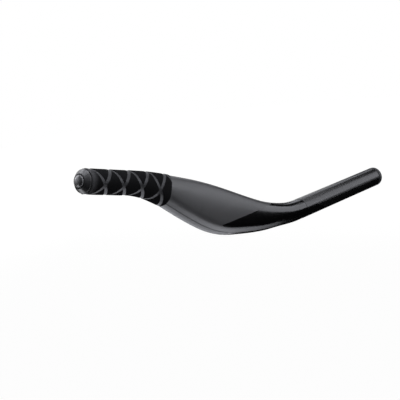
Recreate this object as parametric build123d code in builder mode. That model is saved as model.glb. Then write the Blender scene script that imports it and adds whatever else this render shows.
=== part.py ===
from build123d import *
import math
import os

os.makedirs("parts", exist_ok=True)

# Aero handlebar extension. X runs forward along the clamp tube, Z is up, Y is to the rider's left.
# The origin is on the clamp tube's axis, in the middle of its straight length. Millimetres.
TUBE_R = 11.1
TUBE_HALF = 80.0
TUBE_EDGE = 0.4
TUBE_WALL = 1.6
BODY_WALL = 1.8
BODY_STEP = 0.2

# Bend and palm section: distance in front of the clamp tube, height of the middle line, half height,
# and share of the deep section against the round one.
PALM = [
    (22.0, 0.9, 11.4, 0.2),
    (44.0, 4.1, 12.6, 0.55),
    (66.0, 8.2, 14.9, 0.85),
    (88.0, 14.1, 17.7, 1.0),
    (110.0, 21.1, 20.5, 1.0),
    (132.0, 28.75, 22.85, 1.0),
    (154.0, 38.45, 23.05, 1.0),
    (176.0, 49.8, 20.9, 1.0),
    (196.0, 60.3, 17.8, 1.0),
    (216.0, 70.6, 14.4, 0.9),
    (236.0, 79.3, 12.0, 0.6),
    (254.0, 85.24, 10.8, 0.2),
]
DEEP_W = 11.3
WIDEN_RUN = 100.0
NARROW_RUN = 46.0

# Deep section: a crowned underside between two creases, a bevel up to the flank, and a rounded roof.
CREASE_SHARE = 0.58
CROWN_REAR = 2.6
CROWN_FRONT = 1.6
CROWN_START = 132.0
CROWN_RUN = 84.0
FLANK_RISE = 11.0
FLANK_PULL = 5.0
BEVEL_OUT = 2.4
BEVEL_UP = 2.2
SHOULDER = 0.74
ROUND = 0.5523

# Front end: place of the tube's front end, and the straight round length that holds grip and nose.
NOSE_REACH = 310.0
NOSE_RISE = 99.2
NOSE_TILT = 14.0
FRONT_R = 10.7
FRONT_LENGTH = 46.0
BORE_R = 8.0
BORE_SHOULDER = 0.6
BORE_OVERRUN = 1.0
THICKEN_BEFORE = 60.0
THICKEN_RUN = 50.0

# Grip: a sleeve on a stepped core, with crossing helical grooves.
GRIP_START = 214.0
GRIP_PROUD = 0.6
GRIP_GAP = 1.0
GRIP_EDGE = 0.5
CORE_STEP = 1.2
CORE_RUN_IN = 18.0
GROOVE_W = 3.4
GROOVE_D = 0.3
GROOVE_CUT = 11.0
LATTICE_LEAD = 46.4
LATTICE_TILT = 16.0
LATTICE_NODE = 16.1
LATTICE_TURN = 13.0
LATTICE_RUN_IN = 8.0
LATTICE_LENGTH = 123.0

# Nose housing: radii, and distances forward of the tube's front end.
CONE_R = 10.5
CONE_L = 4.8
CONE_LAND = 0.6
CONE_EDGE = 0.7
BASE_EDGE = 0.2
LIP_W = 0.3
LIP_EDGE = 0.15
RING_TOLERANCE = 0.001
WELL_FLOOR = -4.5
FLOOR_BACK = -6.5
SHANK_FIT = 0.05
SHANK_END = -30.0
SHANK_EDGE = 0.6
ORING_D = 1.0
ORING_W = 1.3
ORING_FRONT = -6.0
ORING_REAR = -24.0
ORING_FIT = 0.025
NECK_R = 5.4
CHAMBER_R = 6.1

# Push button with its seal, spring and clip.
BUTTON_R = 5.4
BUTTON_GAP = 0.65
RIM_Z = 5.3
RIM_W = 0.45
RIM_EDGE = 0.15
DOME_RISE = 2.2
SKIRT_END = 0.4
SEAL_Z = 2.4
SEAL_D = 0.65
SEAL_FIT = 0.05
POCKET_R = 4.3
POCKET_TOP = 3.7
STEM_R = 2.6
STEM_FIT = 0.05
STEM_END = -9.0
TRAVEL = 1.2
CLIP_R = 4.2
CLIP_T = 0.5
CLIP_NECK = 1.9
CLIP_FIT = 0.05
CLIP_PLAY = 0.03
CLIP_SLOT = 2.8
SPRING_R = 3.6
SPRING_WIRE = 0.5
SPRING_FLAT = 0.9
SPRING_FIT = 0.05
SPRING_TURNS = 4.5

# Switch and what holds it in the shank.
BOARD_SEAT = -13.0
BOARD_T = 1.0
BOARD_FIT = 0.1
SWITCH_SIZE = 6.0
SWITCH_CORNER = 0.4
SWITCH_H = 2.2
PLUNGER_R = 1.7
PLUNGER_GAP = 0.05
SPACER_WALL = 1.0
CAP_DEPTH = 3.5
CAP_FLANGE = 1.2
CAP_FIT = 0.05

# Rear plug.
PLUG_HEAD = 6.6
PLUG_EDGE = 1.4
PLUG_BARREL = 18.0
PLUG_WALL = 1.9
PLUG_FIT = 0.2
PLUG_RECESS = 1.6
RIB_FIT = 0.02
RIB_W = 1.4
RIB_FIRST = 4.0
RIB_PITCH = 5.0
RIB_COUNT = 3

NOSE_X = TUBE_HALF + NOSE_REACH
GRIP_X = TUBE_HALF + GRIP_START
tilt = math.radians(NOSE_TILT)
nose_dir = Vector(math.cos(tilt), 0, math.sin(tilt))
nose_at = Vector(NOSE_X, 0, NOSE_RISE)
nose_axis = Axis(nose_at, nose_dir)
nose_plane = Plane(origin=nose_at, x_dir=(0, 1, 0), z_dir=nose_dir)
turning_plane = Plane(origin=nose_at, x_dir=(0, 1, 0), z_dir=Vector(0, 1, 0).cross(nose_dir))


def front_station(forward):
    # Round station on the nose axis.
    at = nose_at + nose_dir * forward
    return (at.X, at.Z, FRONT_R, 0.0)


STATIONS = [(TUBE_HALF - PALM[0][0], 0.0, TUBE_R, 0.0), (TUBE_HALF, 0.0, TUBE_R, 0.0)]
STATIONS += [(TUBE_HALF + d, z, a, m) for d, z, a, m in PALM]
STATIONS += [front_station(s * FRONT_LENGTH) for s in (-1.0, -0.5, 0.0, 0.5)]
FRONT_X = NOSE_X - FRONT_LENGTH * math.cos(tilt)


def share_along(x, start, run):
    return max(0.0, min(1.0, (x - start) / run))


def station(x):
    # Height, slope, half height and share of the deep section at a station, as smooth cubics.
    i = 1
    while i < len(STATIONS) - 3 and x > STATIONS[i + 1][0]:
        i += 1
    a, b, c, d = STATIONS[i - 1 : i + 3]
    h = c[0] - b[0]
    t = (x - b[0]) / h
    value = {}
    for k in (1, 2):
        m0 = (c[k] - a[k]) / (c[0] - a[0]) * h if i > 1 else 0.0
        m1 = (d[k] - b[k]) / (d[0] - b[0]) * h
        q2 = 3 * (c[k] - b[k]) - 2 * m0 - m1
        q3 = 2 * (b[k] - c[k]) + m0 + m1
        value[k] = b[k] + t * (m0 + t * (q2 + t * q3))
        if k == 1:
            slope = (m0 + t * (2 * q2 + t * 3 * q3)) / h
    share = b[3] + (c[3] - b[3]) * t
    return value[1], slope, value[2], share


def half_width(x):
    if x < GRIP_X:
        return TUBE_R + (DEEP_W - TUBE_R) * share_along(x, TUBE_HALF, WIDEN_RUN)
    return DEEP_W + (FRONT_R - DEEP_W) * share_along(x, GRIP_X, NARROW_RUN)


def crown(x):
    # Depth of the underside below its creases.
    return CROWN_REAR + (CROWN_FRONT - CROWN_REAR) * share_along(x, TUBE_HALF + CROWN_START, CROWN_RUN)


def blend(round_points, deep_points, m):
    pairs = zip(round_points, deep_points)
    return [((1 - m) * p[0] + m * q[0], (1 - m) * p[1] + m * q[1]) for p, q in pairs]


def outline(a, w, m, c):
    # Left half of one section, as control points: lower side, upper side and half of the underside.
    g = math.asin(CREASE_SHARE)
    b = CREASE_SHARE * w
    s = a / w
    kl = 4 / 3 * math.tan((math.pi / 2 - g) / 4) * w
    kb = 4 / 3 * math.tan(g / 2) * w
    e = (b, -a * math.cos(g))
    t = (math.cos(g), s * math.sin(g))
    low = [e, (e[0] + kl * t[0], e[1] + kl * t[1]), (w, -s * kl), (w, 0.0)]
    high = [(w, 0.0), (w, a * ROUND), (w * ROUND, a), (0.0, a)]
    under = [(e[0] - kb * t[0], e[1] - kb * t[1]), e]
    y = FLANK_RISE - a
    deep_low = [(b, c - a), (b + BEVEL_OUT, c - a + BEVEL_UP), (w, y - FLANK_PULL), (w, y)]
    deep_high = [(w, y), (w, y + (a - y) * SHOULDER), (w * SHOULDER, a), (0.0, a)]
    deep_under = [(b / 3, -a - c / 3), (b, c - a)]
    return blend(low, deep_low, m), blend(high, deep_high, m), blend(under, deep_under, m)


def flip(points):
    return [(-p[0], p[1]) for p in reversed(points)]


def section(x, grow):
    # Closed section across the middle line at a station, grown or shrunk all round.
    z, slope, a, m = station(x)
    low, high, under = outline(a + grow, half_width(x) + grow, m, crown(x))
    with BuildSketch(Plane(origin=(x, 0, z), x_dir=(0, 1, 0), z_dir=(1, 0, slope))) as sketch:
        with BuildLine():
            Bezier(*flip(under), *under)
            Bezier(*low)
            Bezier(*high)
            Bezier(*flip(high))
            Bezier(*flip(low))
        make_face()
    return sketch.sketch


def hollow_inset(x):
    # The wall thickens under the grip, to a shoulder at the back of the front bore.
    end = FRONT_R - BORE_R + BORE_SHOULDER
    return BODY_WALL + (end - BODY_WALL) * share_along(x, GRIP_X - THICKEN_BEFORE, THICKEN_RUN)


def evenly(start, end, count):
    return [start + (end - start) * i / count for i in range(count)]


palm_x = [TUBE_HALF + row[0] for row in PALM if row[0] < GRIP_START]
body_x = [TUBE_HALF, TUBE_HALF + PALM[0][0] / 2] + palm_x + [GRIP_X]
grip_x = evenly(GRIP_X, FRONT_X, 6) + evenly(FRONT_X, NOSE_X, 4)
hollow_x = body_x + evenly(GRIP_X, FRONT_X, 3)[1:] + [FRONT_X, FRONT_X + BORE_R / 2]
core_x = evenly(GRIP_X - CORE_RUN_IN, GRIP_X, 2) + grip_x + [NOSE_X]
grip_front_x = NOSE_X - GRIP_GAP * math.cos(tilt)

with BuildPart() as core:
    loft([section(x, -CORE_STEP) for x in core_x])

with BuildPart() as hollow:
    loft([section(x, -hollow_inset(x)) for x in hollow_x])

# Tube: round clamp tube, bend, deep palm section and the core that carries the grip, all one moulding.
end_x = -TUBE_HALF - TUBE_EDGE
with BuildPart() as extension_tube:
    with BuildSketch(Plane.YZ.offset(end_x)):
        Circle(TUBE_R)
    extrude(amount=TUBE_HALF - end_x)
    chamfer(extension_tube.edges().sort_by(Axis.X)[0], TUBE_EDGE)
    loft([section(x, 0.0 if x > TUBE_HALF else -BODY_STEP) for x in body_x])
    add(core.part)
    add(hollow.part, mode=Mode.SUBTRACT)
    with BuildSketch(Plane.YZ.offset(end_x)):
        Circle(TUBE_R - TUBE_WALL)
    extrude(amount=TUBE_HALF - end_x + BORE_OVERRUN, mode=Mode.SUBTRACT)
    with BuildSketch(nose_plane.offset(-FRONT_LENGTH)):
        Circle(BORE_R)
    extrude(amount=FRONT_LENGTH + BORE_OVERRUN, mode=Mode.SUBTRACT)
extension_tube.part.label = "extension_tube"
export_step(extension_tube.part, "parts/extension_tube.step")

# Grip: sleeve on the core, with crossing helical grooves that leave raised diamonds.
with BuildPart() as grip_floor:
    loft([section(x, GRIP_PROUD - GROOVE_D) for x in grip_x + [NOSE_X]])

lattice_tilt = math.radians(LATTICE_TILT)
lattice_dir = Vector(-math.cos(lattice_tilt), 0, -math.sin(lattice_tilt))
lattice_at = nose_at - lattice_dir * LATTICE_RUN_IN
lattice_plane = Plane(origin=lattice_at, x_dir=(0, 1, 0), z_dir=lattice_dir)
lattice_phase = 360.0 * (LATTICE_NODE + LATTICE_RUN_IN) / LATTICE_LEAD
grip_r = FRONT_R + GRIP_PROUD


def strip(turn, left):
    # Helical strip about the lattice axis, long in the radial direction.
    angle = math.radians(turn)
    out = lattice_plane.x_dir * math.cos(angle) + lattice_plane.y_dir * math.sin(angle)
    start = Plane(origin=lattice_at, x_dir=out, z_dir=lattice_dir)
    path = Helix(LATTICE_LEAD, LATTICE_LENGTH, grip_r, lefthand=left, mode=Mode.PRIVATE)
    path = path.moved(start.location)
    with BuildPart() as ribbon:
        with BuildSketch(Plane(origin=path @ 0, x_dir=out, z_dir=path % 0)):
            with Locations((GROOVE_CUT / 2, 0)):
                Rectangle(2 * GROOVE_CUT, GROOVE_W)
        sweep(path=path, is_frenet=True)
        add(grip_floor.part, mode=Mode.SUBTRACT)
    return ribbon.part


right_turn = LATTICE_TURN - lattice_phase
left_turn = LATTICE_TURN + lattice_phase
grooves = [strip(right_turn + half, False) for half in (0, 180)]
grooves += [strip(left_turn + half, True) for half in (0, 180)]

with BuildPart() as grip_sleeve:
    loft([section(x, GRIP_PROUD) for x in grip_x + [grip_front_x]])
    with BuildSketch(turning_plane):
        with BuildLine():
            Polyline(
                (grip_r - GRIP_EDGE, -GRIP_GAP),
                (grip_r + GRIP_EDGE, -GRIP_GAP),
                (grip_r + GRIP_EDGE, -GRIP_GAP - 2 * GRIP_EDGE),
                close=True,
            )
        make_face()
    revolve(axis=nose_axis, mode=Mode.SUBTRACT)
    add(core.part, mode=Mode.SUBTRACT)
    for groove in grooves:
        add(groove, mode=Mode.SUBTRACT)
grip_sleeve.part.label = "grip_sleeve"
export_step(grip_sleeve.part, "parts/grip_sleeve.step")

# Nose: cone with a well for the button, and a shank in the tube's bore.
well_r = BUTTON_R + BUTTON_GAP
lip_r = well_r + LIP_W
shank_r = BORE_R - SHANK_FIT
oring_r = shank_r - ORING_D
stem_hole = STEM_R + STEM_FIT


def ring_at(edges, radius, forward):
    # Circular edges about the nose axis with this radius and place.
    rings = [e for e in edges.filter_by(GeomType.CIRCLE) if abs(e.radius - radius) < RING_TOLERANCE]
    place = lambda e: (e.arc_center - nose_at).dot(nose_dir)
    return [e for e in rings if abs(place(e) - forward) < RING_TOLERANCE]


with BuildPart() as nose_housing:
    with BuildSketch(turning_plane):
        with BuildLine():
            Polyline(
                (well_r, CONE_L),
                (lip_r, CONE_L),
                (CONE_R, CONE_LAND),
                (CONE_R, 0.0),
                (shank_r, 0.0),
                (shank_r, ORING_FRONT),
                (oring_r, ORING_FRONT),
                (oring_r, ORING_FRONT - ORING_W),
                (shank_r, ORING_FRONT - ORING_W),
                (shank_r, ORING_REAR),
                (oring_r, ORING_REAR),
                (oring_r, ORING_REAR - ORING_W),
                (shank_r, ORING_REAR - ORING_W),
                (shank_r, SHANK_END + SHANK_EDGE),
                (shank_r - SHANK_EDGE, SHANK_END),
                (CHAMBER_R, SHANK_END),
                (CHAMBER_R, BOARD_SEAT),
                (NECK_R, BOARD_SEAT),
                (NECK_R, FLOOR_BACK),
                (stem_hole, FLOOR_BACK),
                (stem_hole, WELL_FLOOR),
                (well_r, WELL_FLOOR),
                close=True,
            )
        make_face()
    revolve(axis=nose_axis)
    fillet(ring_at(nose_housing.edges(), CONE_R, CONE_LAND), CONE_EDGE)
    fillet(ring_at(nose_housing.edges(), CONE_R, 0.0), BASE_EDGE)
    fillet(ring_at(nose_housing.edges(), lip_r, CONE_L), LIP_EDGE)
nose_housing.part.label = "nose_housing"
export_step(nose_housing.part, "parts/nose_housing.step")

shank_seal_r = (BORE_R + oring_r) / 2
shank_seal_t = (BORE_R - oring_r) / 2 - ORING_FIT
with BuildPart() as shank_oring_front:
    with Locations(nose_plane.offset(ORING_FRONT - ORING_W / 2)):
        Torus(shank_seal_r, shank_seal_t)
shank_oring_front.part.label = "shank_oring_front"
export_step(shank_oring_front.part, "parts/shank_oring_front.step")

with BuildPart() as shank_oring_rear:
    with Locations(nose_plane.offset(ORING_REAR - ORING_W / 2)):
        Torus(shank_seal_r, shank_seal_t)
shank_oring_rear.part.label = "shank_oring_rear"
export_step(shank_oring_rear.part, "parts/shank_oring_rear.step")

# Button: domed head with a rim, a skirt that holds a seal, and a stem through the housing's floor.
seal_r = BUTTON_R - SEAL_D
clip_top = FLOOR_BACK - CLIP_FIT
clip_end = clip_top - CLIP_T
dome_r = BUTTON_R - RIM_W
dome_ball = (dome_r**2 + DOME_RISE**2) / (2 * DOME_RISE)
dome_half = math.asin(dome_r / dome_ball) / 2 if DOME_RISE < dome_r else math.pi / 4
dome_mid = (dome_ball * math.sin(dome_half), RIM_Z + DOME_RISE - dome_ball * (1 - math.cos(dome_half)))
with BuildPart() as push_button:
    with BuildSketch(turning_plane):
        with BuildLine():
            ThreePointArc((0, RIM_Z + DOME_RISE), dome_mid, (dome_r, RIM_Z))
            Polyline(
                (dome_r, RIM_Z),
                (BUTTON_R, RIM_Z),
                (BUTTON_R, SEAL_Z + ORING_W / 2),
                (seal_r, SEAL_Z + ORING_W / 2),
                (seal_r, SEAL_Z - ORING_W / 2),
                (BUTTON_R, SEAL_Z - ORING_W / 2),
                (BUTTON_R, SKIRT_END),
                (POCKET_R, SKIRT_END),
                (POCKET_R, POCKET_TOP),
                (STEM_R, POCKET_TOP),
                (STEM_R, clip_top + CLIP_PLAY),
                (CLIP_NECK, clip_top + CLIP_PLAY),
                (CLIP_NECK, clip_end - CLIP_PLAY),
                (STEM_R, clip_end - CLIP_PLAY),
                (STEM_R, STEM_END),
                (0, STEM_END),
                (0, RIM_Z + DOME_RISE),
            )
        make_face()
    revolve(axis=nose_axis)
    fillet(ring_at(push_button.edges(), BUTTON_R, RIM_Z), RIM_EDGE)
push_button.part.label = "push_button"
export_step(push_button.part, "parts/push_button.step")

with BuildPart() as button_oring:
    with Locations(nose_plane.offset(SEAL_Z)):
        Torus((well_r + seal_r) / 2, (well_r - seal_r) / 2 - SEAL_FIT)
button_oring.part.label = "button_oring"
export_step(button_oring.part, "parts/button_oring.step")

with BuildPart() as return_spring:
    spring_h = POCKET_TOP - WELL_FLOOR - SPRING_WIRE - 2 * SPRING_FIT
    coil = Helix(spring_h / SPRING_TURNS, spring_h, SPRING_R, mode=Mode.PRIVATE)
    coil = coil.moved(nose_plane.offset(WELL_FLOOR + SPRING_WIRE / 2 + SPRING_FIT).location)
    with BuildSketch(Plane(origin=coil @ 0, x_dir=nose_plane.x_dir, z_dir=coil % 0)):
        Rectangle(SPRING_FLAT, SPRING_WIRE)
    sweep(path=coil, is_frenet=True)
return_spring.part.label = "return_spring"
export_step(return_spring.part, "parts/return_spring.step")

with BuildPart() as retaining_clip:
    with BuildSketch(nose_plane.offset(clip_end)):
        Circle(CLIP_R)
        Circle(CLIP_NECK + CLIP_FIT, mode=Mode.SUBTRACT)
        with Locations((0, CLIP_R)):
            Rectangle(CLIP_SLOT, 2 * CLIP_R, mode=Mode.SUBTRACT)
    extrude(amount=CLIP_T)
retaining_clip.part.label = "retaining_clip"
export_step(retaining_clip.part, "parts/retaining_clip.step")

# Switch on its board, held by a spacer and a cap at the back of the housing.
switch_top = BOARD_SEAT + SWITCH_H
with BuildPart() as tact_switch:
    with BuildSketch(nose_plane.offset(BOARD_SEAT)):
        RectangleRounded(SWITCH_SIZE, SWITCH_SIZE, SWITCH_CORNER)
    extrude(amount=SWITCH_H)
    with BuildSketch(nose_plane.offset(switch_top)):
        Circle(PLUNGER_R)
    extrude(amount=STEM_END - TRAVEL - PLUNGER_GAP - switch_top)
tact_switch.part.label = "tact_switch"
export_step(tact_switch.part, "parts/tact_switch.step")

with BuildPart() as circuit_board:
    with BuildSketch(nose_plane.offset(BOARD_SEAT - BOARD_T)):
        Circle(CHAMBER_R - BOARD_FIT)
    extrude(amount=BOARD_T)
circuit_board.part.label = "circuit_board"
export_step(circuit_board.part, "parts/circuit_board.step")

cap_top = SHANK_END + CAP_DEPTH
with BuildPart() as board_spacer:
    with BuildSketch(nose_plane.offset(cap_top)):
        Circle(CHAMBER_R - BOARD_FIT)
        Circle(CHAMBER_R - BOARD_FIT - SPACER_WALL, mode=Mode.SUBTRACT)
    extrude(amount=BOARD_SEAT - BOARD_T - cap_top)
board_spacer.part.label = "board_spacer"
export_step(board_spacer.part, "parts/board_spacer.step")

with BuildPart() as back_cap:
    with BuildSketch(nose_plane.offset(SHANK_END)):
        Circle(CHAMBER_R - CAP_FIT)
    extrude(amount=CAP_DEPTH)
    with BuildSketch(nose_plane.offset(SHANK_END - CAP_FLANGE)):
        Circle(shank_r - SHANK_EDGE)
    extrude(amount=CAP_FLANGE)
back_cap.part.label = "back_cap"
export_step(back_cap.part, "parts/back_cap.step")

# Plug in the rear end, with a ribbed barrel.
tube_bore = TUBE_R - TUBE_WALL
plug_r = tube_bore - PLUG_FIT
plug_bore = plug_r - PLUG_WALL
rib_h = tube_bore - RIB_FIT - plug_bore
with BuildPart() as rear_plug:
    with BuildSketch(Plane.XY):
        with BuildLine():
            Polyline(
                (end_x - PLUG_HEAD, 0.0),
                (end_x - PLUG_HEAD, TUBE_R),
                (end_x - TUBE_EDGE, TUBE_R),
                (end_x, TUBE_R - TUBE_EDGE),
                (end_x, plug_r),
                (end_x + PLUG_BARREL, plug_r),
                (end_x + PLUG_BARREL, plug_bore),
                (end_x - PLUG_RECESS, plug_bore),
                (end_x - PLUG_RECESS, 0.0),
                close=True,
            )
        make_face()
        for rib in range(RIB_COUNT):
            with Locations((end_x + RIB_FIRST + rib * RIB_PITCH, plug_bore + rib_h / 2)):
                Rectangle(RIB_W, rib_h)
    revolve(axis=Axis.X)
    fillet(rear_plug.faces().sort_by(Axis.X)[0].edges(), PLUG_EDGE)
rear_plug.part.label = "rear_plug"
export_step(rear_plug.part, "parts/rear_plug.step")
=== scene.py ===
import math

import bpy
from mathutils import Matrix, Vector


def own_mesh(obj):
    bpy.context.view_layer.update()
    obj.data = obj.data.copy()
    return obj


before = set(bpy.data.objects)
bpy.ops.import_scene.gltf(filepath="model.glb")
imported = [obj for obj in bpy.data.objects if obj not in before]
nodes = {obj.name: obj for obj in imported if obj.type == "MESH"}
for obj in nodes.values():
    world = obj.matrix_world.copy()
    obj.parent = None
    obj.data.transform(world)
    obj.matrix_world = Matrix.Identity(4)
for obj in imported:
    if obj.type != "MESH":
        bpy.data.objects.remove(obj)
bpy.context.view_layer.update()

# Aero handlebar extension: finishes, studio and camera. Lengths are metres in the frame of the solids.
# A grey is a linear reflectance. Two greys are the dark and the light of a grain, the two values of a
# bump are its strength and depth, and other pairs say where a soft step starts and ends.

# Places on the solids: the tube's front end on the nose's axis, the tube's rear end, and how far the
# underside's creases lie from the middle plane.
NOSE_AT = Vector((0.390, 0.0, 0.0992))
NOSE_TILT = math.radians(14.0)
TUBE_END = -0.0804
CREASE_Y = 0.00652

# Tube: matte palm, gloss band below the level BAND_TOP, satin clamp tube. A reach is how far a finish
# goes forward, for the band at its top and for the clamp tube at the height of its axis. A lean is an
# edge's run forward for its rise, and a soft is half the width of an edge.
BAND_TOP = 0.0195
BAND_REACH = 0.2285
BAND_LEAN = 1.2
BAND_SOFT = 0.0003
SATIN_REACH = 0.0575
SATIN_LEAN = 2.6
SATIN_SOFT = 0.001
PALM_GREYS = (0.03, 0.036)
PALM_ROUGH = 0.38
GLOSS_GREY = 0.0018
GLOSS_ROUGH = 0.15
SATIN_GREY = 0.002
SATIN_ROUGH = 0.27
STREAK_SCALE = 60.0
STREAK_DETAIL = 3.0
STREAK_STRETCH = (0.25, 1.0, 1.0)

# The bevel above each crease stays matte. It is told by its normal, which points down and sideways, and
# it fades in along X.
BEVEL_DOWN = (-0.35, -0.5)
BEVEL_SIDE = (0.55, 0.7)
BEVEL_START = (0.115, 0.15)

# Fine dark line painted along the crease as its shade, and made rougher there, on faces that look down, and
# the dull cut edge at the rear end.
CREASE_SHADE_HALF = (0.0007, 0.0003)
CREASE_SHADE_DOWN = (0.0, -0.1)
CREASE_SHADE_START = (0.14, 0.2)
CREASE_SHADE_DARK = 0.7
CREASE_SHADE_DULL = 0.25
CUT_EDGE = (TUBE_END + 0.0009, TUBE_END + 0.0004)
CUT_DULL = 0.65

# Grip lattice: tilt of its axis, lead of its helices, how far behind NOSE_AT they cross and how far
# below the side, the grooves' width, their edge in half widths, and the radius that they lie at.
LATTICE_TILT = math.radians(16.0)
LATTICE_LEAD = 0.0464
LATTICE_NODE = 0.0161
LATTICE_TURN = math.radians(13.0)
GROOVE_W = 0.0034
GROOVE_EDGE = (1.1, 0.9)
GRIP_R = 0.0113

# Grip finishes: dull pads with painted light that makes them lighter toward the front end, and grooves with
# a sheen.
PAD_GREY = 0.009
PAD_ROUGH = 0.8
PAD_GRAIN = 900.0
PAD_BUMP = (0.15, 0.0002)
FRONT_LIGHT_GREY = 0.055
FRONT_LIGHT_RUN = (0.009, 0.001)
GROOVE_GREY = 0.065
GROOVE_ROUGH = 0.48
GROOVE_METAL = 0.85

# Nose and button: radii between which the lighter middle fades into the body's colour, painted light and
# shade on the button's dome, and the grain of the plastic.
PAINTED_SHADE_RADII = (0.0015, 0.0045)
PLASTIC_GRAIN = 1500.0
PLASTIC_BUMP = (0.04, 0.0001)

# Plug: satin rubber with a painted shadow line, a dark band where it seats on the tube.
PLUG_GREYS = (0.013, 0.017)
PLUG_ROUGH = 0.55
PLUG_GRAIN = 900.0
PLUG_BUMP = (0.08, 0.0001)
PLUG_SHADOW_LINE = (TUBE_END - 0.0016, TUBE_END - 0.001)
PLUG_SHADOW_GREY = 0.001
PLUG_SHADOW_ROUGH = 0.95

# Pieces inside: the share of the colour that is left in the dark of the grain, and its spread of roughness.
GRAIN_DARK = 0.8
GRAIN_SPREAD = 0.1
GRAIN_BUMP = (0.05, 0.0001)

# Levels between which most of a noise lies, and the blue of a grey against its red.
NOISE_RANGE = (0.3, 0.7)
COOL = 1.03

# Studio: the floor and the backdrop show white to the camera and in reflections, and light the part only
# weakly. LAMP_WATTS is the power of a square metre of soft box at a radiance of 1, and MIDDLE and TIP are
# the points on the part that most soft boxes face.
UP = (0, 0, 1)
FLOOR_Z = -0.6
FLOOR_SIDE = 12.0
FLOOR_GREY = 0.12
FLOOR_GLOW = 0.98
BACKDROP = 1.0
AMBIENT = 0.3
LAMP_WATTS = 4.0
LAMP_COLOUR = (0.965, 0.98, 1.05)
LOW_FLAG_Z = -0.27
LOW_BOX_Z = -0.26
MIDDLE = (0.1, 0.0, 0.05)
TIP = (0.35, 0.0, 0.08)

# Camera at the photograph's place, with the directions to its right and behind it.
EYE_AT = (0.9648, 0.6181, 0.2188)
EYE_RIGHT = (-0.6230, 0.7682, -0.1473)
EYE_BACK = (0.7476, 0.6402, 0.1767)
LENS_MM = 90.0
SENSOR_MM = 36.0
CLIP_END = 50.0


class Graph:
    """Short ways to add nodes to a material or a world."""

    def __init__(self, owner, shader="Principled BSDF"):
        owner.use_nodes = True
        self.owner = owner
        self.tree = owner.node_tree
        self.shader = self.tree.nodes[shader]

    def node(self, kind, **settings):
        made = self.tree.nodes.new(kind)
        for key, value in settings.items():
            setattr(made, key, value)
        return made

    def link(self, value, socket):
        if isinstance(value, bpy.types.NodeSocket):
            self.tree.links.new(value, socket)
        else:
            socket.default_value = value

    def set(self, **values):
        for name, value in values.items():
            self.link(value, self.shader.inputs[name.replace("_", " ")])

    def math(self, operation, *values):
        made = self.node("ShaderNodeMath", operation=operation)
        for value, socket in zip(values, made.inputs):
            self.link(value, socket)
        return made.outputs[0]

    def product(self, first, *others):
        for other in others:
            first = self.math("MULTIPLY", first, other)
        return first

    def inverse(self, share):
        return self.math("SUBTRACT", 1.0, share)

    def hypotenuse(self, first, second):
        square = self.math("MULTIPLY", second, second)
        return self.math("SQRT", self.math("MULTIPLY_ADD", first, first, square))

    def step(self, value, start, end, low=0.0, high=1.0):
        # Soft step from low to high as the value goes from start to end.
        made = self.node("ShaderNodeMapRange", interpolation_type="SMOOTHSTEP")
        for level, socket in zip((value, start, end, low, high), made.inputs):
            self.link(level, socket)
        return made.outputs[0]

    def blend(self, share, low, high):
        return self.step(share, 0.0, 1.0, low, high)

    def mix(self, share, first, second):
        # Of the node's many sockets these are the ones for colours.
        made = self.node("ShaderNodeMix", data_type="RGBA")
        self.link(share, made.inputs[0])
        self.link(first, made.inputs[6])
        self.link(second, made.inputs[7])
        return made.outputs[2]

    def split(self, vector):
        made = self.node("ShaderNodeSeparateXYZ")
        self.link(vector, made.inputs[0])
        return made.outputs[:3]

    def place(self):
        return self.node("ShaderNodeTexCoord").outputs["Object"]

    def along(self, parts, origin, direction):
        # Distance from the origin along a direction in the XZ plane.
        ahead = self.math("MULTIPLY", self.math("SUBTRACT", parts[0], origin[0]), direction[0])
        above = self.math("MULTIPLY", self.math("SUBTRACT", parts[2], origin[2]), direction[2])
        return self.math("ADD", ahead, above)

    def noise(self, vector, scale, detail=2.0, stretch=(1, 1, 1)):
        squash = self.node("ShaderNodeMapping")
        self.link(vector, squash.inputs["Vector"])
        self.link(stretch, squash.inputs["Scale"])
        made = self.node("ShaderNodeTexNoise")
        self.link(squash.outputs[0], made.inputs["Vector"])
        self.link(scale, made.inputs["Scale"])
        self.link(detail, made.inputs["Detail"])
        return made.outputs[0]

    def bump(self, height, strength, distance):
        made = self.node("ShaderNodeBump")
        self.link(strength, made.inputs["Strength"])
        self.link(distance, made.inputs["Distance"])
        self.link(height, made.inputs["Height"])
        self.set(Normal=made.outputs[0])

    def seen(self):
        # 1 for what the camera, a reflection or glass shows, 0 for light that falls on the part.
        path = self.node("ShaderNodeLightPath").outputs
        mirrored = self.math("MAXIMUM", path["Is Camera Ray"], path["Is Glossy Ray"])
        return self.math("MAXIMUM", mirrored, path["Is Transmission Ray"])


def grey(level):
    return (level, level, level * COOL, 1.0)


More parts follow.
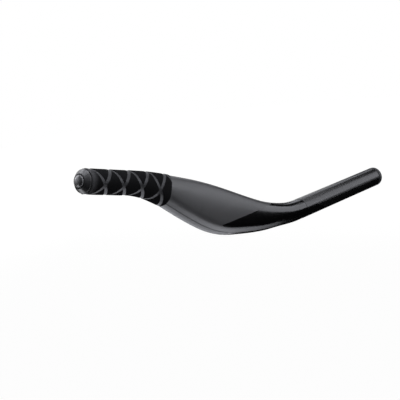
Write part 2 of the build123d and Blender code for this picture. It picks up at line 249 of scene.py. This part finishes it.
def laminate():
    g = Graph(bpy.data.materials.new("laminate"))
    vector = g.place()
    x, y, z = g.split(vector)
    normal = g.split(g.node("ShaderNodeNewGeometry").outputs["Normal"])

    # Where the clamp tube's satin and the gloss band lie.
    slant = g.math("MULTIPLY_ADD", z, -SATIN_LEAN, x)
    ahead = g.step(slant, SATIN_REACH - SATIN_SOFT, SATIN_REACH + SATIN_SOFT)
    tube = g.inverse(ahead)
    below = g.step(z, BAND_TOP + BAND_SOFT, BAND_TOP - BAND_SOFT)
    edge = g.math("MULTIPLY_ADD", z, BAND_LEAN, BAND_REACH - BAND_TOP * BAND_LEAN)
    behind = g.step(g.math("SUBTRACT", x, edge), BAND_SOFT, -BAND_SOFT)
    sideways = g.math("ABSOLUTE", normal[1])
    bevel = g.product(
        g.step(normal[2], *BEVEL_DOWN),
        g.step(sideways, *BEVEL_SIDE),
        g.step(x, *BEVEL_START),
    )
    gloss = g.product(below, behind, ahead, g.inverse(bevel))

    # Painted shade: a fine dark, rougher line along the crease between the bevel and the underside.
    off = g.math("ABSOLUTE", g.math("SUBTRACT", g.math("ABSOLUTE", y), CREASE_Y))
    crease_shade = g.product(
        g.step(off, *CREASE_SHADE_HALF),
        g.step(normal[2], *CREASE_SHADE_DOWN),
        g.step(x, *CREASE_SHADE_START),
    )

    streaks = g.noise(vector, STREAK_SCALE, STREAK_DETAIL, STREAK_STRETCH)
    palm = g.step(streaks, *NOISE_RANGE, *PALM_GREYS)
    # The crease's painted shade darkens the palm's colour.
    palm = g.product(palm, g.inverse(g.product(crease_shade, CREASE_SHADE_DARK)))
    neutral = g.node("ShaderNodeCombineColor")
    for socket in neutral.inputs[:3]:
        g.link(palm, socket)
    colour = g.mix(gloss, neutral.outputs[0], grey(GLOSS_GREY))
    g.set(Base_Color=g.mix(tube, colour, grey(SATIN_GREY)))

    rough = g.blend(gloss, PALM_ROUGH, GLOSS_ROUGH)
    rough = g.math("SUBTRACT", rough, g.product(tube, PALM_ROUGH - SATIN_ROUGH))
    rough = g.math("ADD", rough, g.product(crease_shade, CREASE_SHADE_DULL))
    rough = g.math("ADD", rough, g.step(x, *CUT_EDGE, 0.0, CUT_DULL))
    g.set(Roughness=rough)
    return g.owner


def lattice(g, back, down, side):
    # 1 in the grooves, which follow two pairs of helices that turn opposite ways.
    angle = g.math("ARCTAN2", down, side)
    turn = g.math("DIVIDE", g.math("SUBTRACT", angle, LATTICE_TURN), math.pi)
    run = g.math("MULTIPLY", g.math("SUBTRACT", back, LATTICE_NODE), 2.0 / LATTICE_LEAD)
    # Half the width of a groove, from its reach around the grip and its reach along it.
    slant = math.atan2(LATTICE_LEAD, 2 * math.pi * GRIP_R)
    around = GROOVE_W * math.sin(slant) * LATTICE_LEAD / (4 * math.pi)
    lengthways = GROOVE_W / 2 * math.cos(slant)
    width = g.math("ADD", g.math("DIVIDE", around, g.hypotenuse(down, side)), lengthways)
    width = g.math("MULTIPLY", width, 2.0 / LATTICE_LEAD)
    lines = []
    for sense in ("SUBTRACT", "ADD"):
        count = g.math(sense, turn, run)
        off = g.math("ABSOLUTE", g.math("SUBTRACT", count, g.math("ROUND", count)))
        lines.append(g.step(g.math("DIVIDE", off, width), *GROOVE_EDGE))
    return g.math("MAXIMUM", *lines)


def grip_rubber():
    g = Graph(bpy.data.materials.new("grip_rubber"))
    vector = g.place()
    parts = g.split(vector)
    back = g.along(parts, NOSE_AT, (-math.cos(LATTICE_TILT), 0.0, -math.sin(LATTICE_TILT)))
    down = g.along(parts, NOSE_AT, (math.sin(LATTICE_TILT), 0.0, -math.cos(LATTICE_TILT)))
    lines = lattice(g, back, down, parts[1])
    # Painted light: the pads turn lighter toward the grip's front end.
    pads = g.mix(g.step(back, *FRONT_LIGHT_RUN), grey(PAD_GREY), grey(FRONT_LIGHT_GREY))
    g.set(Base_Color=g.mix(lines, pads, grey(GROOVE_GREY)))
    g.set(Roughness=g.blend(lines, PAD_ROUGH, GROOVE_ROUGH))
    g.set(Metallic=g.product(lines, GROOVE_METAL), Specular_IOR_Level=0.0)
    g.bump(g.noise(vector, PAD_GRAIN), *PAD_BUMP)
    return g.owner


def ringed(name, middle, body, ring, ring_edge, body_rough, ring_rough):
    # Moulded plastic with a ring of another colour and roughness, by distance from the nose's axis: painted
    # shade as a dark ring, or a painted highlight as a bright one. The middle's colour fades into the
    # body's, which paints light and shade on a dome.
    g = Graph(bpy.data.materials.new(name))
    vector = g.place()
    parts = g.split(vector)
    above = g.along(parts, NOSE_AT, (-math.sin(NOSE_TILT), 0.0, math.cos(NOSE_TILT)))
    radius = g.hypotenuse(above, parts[1])
    share = g.step(radius, *ring_edge)
    # Painted light and shade: the middle's colour fades into the body's.
    painted_shade = g.mix(g.step(radius, *PAINTED_SHADE_RADII), grey(middle), grey(body))
    g.set(Base_Color=g.mix(share, painted_shade, grey(ring)))
    g.set(Roughness=g.blend(share, body_rough, ring_rough))
    g.bump(g.noise(vector, PLASTIC_GRAIN), *PLASTIC_BUMP)
    return g.owner


def plug_rubber():
    g = Graph(bpy.data.materials.new("plug_rubber"))
    vector = g.place()
    # Painted shadow line where the plug seats on the tube, dark and rough.
    edge = g.step(g.split(vector)[0], *PLUG_SHADOW_LINE)
    fine = g.step(g.noise(vector, PLUG_GRAIN), *NOISE_RANGE)
    dark, light = PLUG_GREYS
    body = g.mix(fine, grey(dark), grey(light))
    g.set(Base_Color=g.mix(edge, body, grey(PLUG_SHADOW_GREY)))
    g.set(Roughness=g.blend(edge, PLUG_ROUGH, PLUG_SHADOW_ROUGH))
    g.bump(fine, *PLUG_BUMP)
    return g.owner


def grained(name, colour, rough, grain, metallic=0.0):
    # One colour with a fine grain in its tone, roughness and relief.
    g = Graph(bpy.data.materials.new(name))
    fine = g.step(g.noise(g.place(), grain), *NOISE_RANGE)
    dark = [GRAIN_DARK * level for level in colour[:3]] + [1.0]
    g.set(Base_Color=g.mix(fine, dark, colour), Metallic=metallic)
    g.set(Roughness=g.math("MULTIPLY_ADD", fine, GRAIN_SPREAD, rough - GRAIN_SPREAD / 2))
    g.bump(fine, *GRAIN_BUMP)
    return g.owner


# Finish of each node. The dark ring on the nose is painted shade in the gap around the button, the bright
# ring on the button is a painted highlight on its rim.
seal = grained("seal_rubber", grey(0.01), rough=0.6, grain=2500.0)
steel = grained("spring_steel", (0.6, 0.6, 0.62, 1.0), rough=0.3, grain=4000.0, metallic=1.0)
inner = grained("inner_plastic", grey(0.06), rough=0.5, grain=1500.0)
looks = {
    "extension_tube": laminate(),
    "grip_sleeve": grip_rubber(),
    "nose_housing": ringed(
        "nose_plastic",
        middle=0.03,
        body=0.03,
        # Painted shade in the gap around the button.
        ring=0.001,
        ring_edge=(0.0068, 0.0066),
        body_rough=0.32,
        ring_rough=0.9,
    ),
    "push_button": ringed(
        "button_plastic",
        # The lighter middle fading into the darker body paints light and shade on the dome.
        middle=0.14,
        body=0.028,
        # Painted highlight on the button's rim.
        ring=0.22,
        ring_edge=(0.0049, 0.0051),
        body_rough=0.34,
        ring_rough=0.3,
    ),
    "rear_plug": plug_rubber(),
    "shank_oring_front": seal,
    "shank_oring_rear": seal,
    "button_oring": seal,
    "return_spring": steel,
    "retaining_clip": steel,
    "board_spacer": inner,
    "back_cap": inner,
    "tact_switch": inner,
    "circuit_board": grained("board_laminate", (0.03, 0.12, 0.05, 1.0), rough=0.4, grain=1200.0),
}
for name, material in looks.items():
    mesh = nodes[name].data
    mesh.materials.clear()
    mesh.materials.append(material)

# The return spring gets a mesh of its own.
spring = nodes["return_spring"]
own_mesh(spring)


def plane(name, centre, size, normal, material):
    # Flat piece of the studio.
    bpy.ops.mesh.primitive_plane_add(size=1.0)
    made = bpy.context.object
    made.name = name
    made.scale = (size[0], size[1], 1)
    made.rotation_euler = Vector(normal).to_track_quat("Z", "Y").to_euler()
    made.location = centre
    made.data.materials.append(material)
    return made


def soft_box(name, place, target, width, height, radiance):
    # Area lamp aimed at the target, or straight up where there is none.
    light = bpy.data.lights.new(name, "AREA")
    light.shape = "RECTANGLE"
    light.size = width
    light.size_y = height
    light.energy = LAMP_WATTS * width * height * radiance
    light.color = LAMP_COLOUR
    made = bpy.data.objects.new(name, light)
    bpy.context.scene.collection.objects.link(made)
    made.location = place
    aim = Vector(target) - Vector(place) if target else Vector(UP)
    made.rotation_euler = aim.to_track_quat("-Z", "Y").to_euler()
    made.visible_camera = False


def floor_material():
    g = Graph(bpy.data.materials.new("pale_floor"))
    g.tree.nodes.remove(g.shader)
    glow = g.node("ShaderNodeEmission")
    g.link(g.product(g.seen(), FLOOR_GLOW), glow.inputs["Strength"])
    base = g.node("ShaderNodeBsdfDiffuse")
    g.link((FLOOR_GREY, FLOOR_GREY, FLOOR_GREY, 1.0), base.inputs["Color"])
    both = g.node("ShaderNodeAddShader")
    g.link(glow.outputs[0], both.inputs[0])
    g.link(base.outputs[0], both.inputs[1])
    g.link(both.outputs[0], g.tree.nodes["Material Output"].inputs["Surface"])
    return g.owner


def flag_material():
    # Black cloth that reflects nothing.
    g = Graph(bpy.data.materials.new("flag"))
    g.set(Base_Color=(0.0, 0.0, 0.0, 1.0), Roughness=1.0, Specular_IOR_Level=0.0)
    return g.owner


plane("floor", (0, 0, FLOOR_Z), (FLOOR_SIDE, FLOOR_SIDE), UP, floor_material())

# Dark flags, which the camera doesn't see: centre, size and the way each faces.
flags = {
    "flag_low_rear": ((-1.04, 0.2, LOW_FLAG_Z), (1.92, 3.0), UP),
    "flag_low_front": ((1.15, 0.75, LOW_FLAG_Z), (1.62, 1.9), UP),
    "flag_low_near": ((0.13, 1.03, LOW_FLAG_Z), (0.42, 1.34), UP),
    "flag_low_mid": ((0.13, -0.13, LOW_FLAG_Z), (0.42, 0.98), UP),
    "flag_low_far": ((0.0, -1.6, LOW_FLAG_Z), (4.0, 1.96), UP),
    "flag_near": ((0.0, 1.7, 0.6), (4.0, 2.4), (0, -1, 0)),
    "flag_front": ((1.9, 0.4, 0.6), (2.4, 2.6), (-1, 0, 0)),
    "flag_rear": ((-2.0, 0.3, 0.6), (3.2, 2.0), (1, 0, 0)),
    "flag_top": ((0.0, 0.4, 1.7), (4.0, 2.6), (0, 0, -1)),
}
black = flag_material()
for name, (centre, size, normal) in flags.items():
    flag = plane(name, centre, size, normal, black)
    flag.visible_camera = False

# Soft boxes: place, target, width, height and radiance.
boxes = {
    "top_box": ((0.25, 0.1, 1.15), (0.2, 0.0, 0.05), 0.6, 0.6, 8.0),
    "near_box": ((0.415, 0.747, 0.884), TIP, 0.8, 0.7, 2.6),
    "near_low_box": ((0.713, 0.998, 0.365), TIP, 0.4, 0.4, 2.2),
    "side_box": ((-0.603, 0.838, 0.155), MIDDLE, 0.29, 0.25, 5.8),
    "side_rear_box": ((-0.85, 0.505, 0.279), MIDDLE, 0.6, 0.6, 1.45),
    "rear_mid_box": ((-0.736, 0.304, 0.697), MIDDLE, 0.4, 0.3, 0.85),
    "rear_low_box": ((-0.99, 0.095, 0.165), MIDDLE, 0.29, 0.3, 0.4),
    "rear_high_box": ((-0.675, 0.068, 0.828), MIDDLE, 0.29, 0.3, 2.4),
    "rear_far_box": ((-0.74, -0.37, 0.49), MIDDLE, 0.34, 0.36, 0.85),
    "back_box": ((0.43, -0.9, 0.71), TIP, 0.55, 0.95, 2.9),
    "back_high_box": ((0.36, -0.46, 1.05), TIP, 0.3, 0.4, 2.0),
    "back_front_box": ((1.056, -0.812, 0.309), TIP, 0.38, 0.38, 0.8),
    "low_box": ((0.12, 0.115, LOW_BOX_Z), None, 0.24, 0.23, 2.3),
    "low_rear_box": ((-0.065, 0.115, LOW_BOX_Z), None, 0.13, 0.23, 1.0),
    "low_near_box": ((-0.05, 0.51, LOW_BOX_Z), None, 0.3, 0.22, 0.6),
    "low_far_box": ((0.15, -0.3, LOW_BOX_Z), None, 0.38, 0.6, 1.35),
    "low_front_box": ((0.6, -0.3, -0.24), (0.39, 0.0, 0.09), 0.26, 0.26, 2.6),
}
for name, (place, target, width, height, radiance) in boxes.items():
    soft_box(name, place, target, width, height, radiance)

# White surroundings, which light the part less than they show.
studio = Graph(bpy.data.worlds.new("studio"), shader="Background")
studio.set(Color=(1.0, 1.0, 1.0, 1.0), Strength=studio.blend(studio.seen(), AMBIENT, BACKDROP))
bpy.context.scene.world = studio.owner

camera = bpy.data.cameras.new("camera")
camera.lens = LENS_MM
camera.sensor_width = SENSOR_MM
camera.clip_end = CLIP_END
eye = bpy.data.objects.new("camera", camera)
bpy.context.scene.collection.objects.link(eye)
back = Vector(EYE_BACK).normalized()
up = back.cross(Vector(EYE_RIGHT)).normalized()
right = up.cross(back)
turned = Matrix((right, up, back)).transposed().to_4x4()
eye.matrix_world = Matrix.Translation(EYE_AT) @ turned
bpy.context.scene.camera = eye
bpy.context.scene.view_settings.view_transform = "Standard"
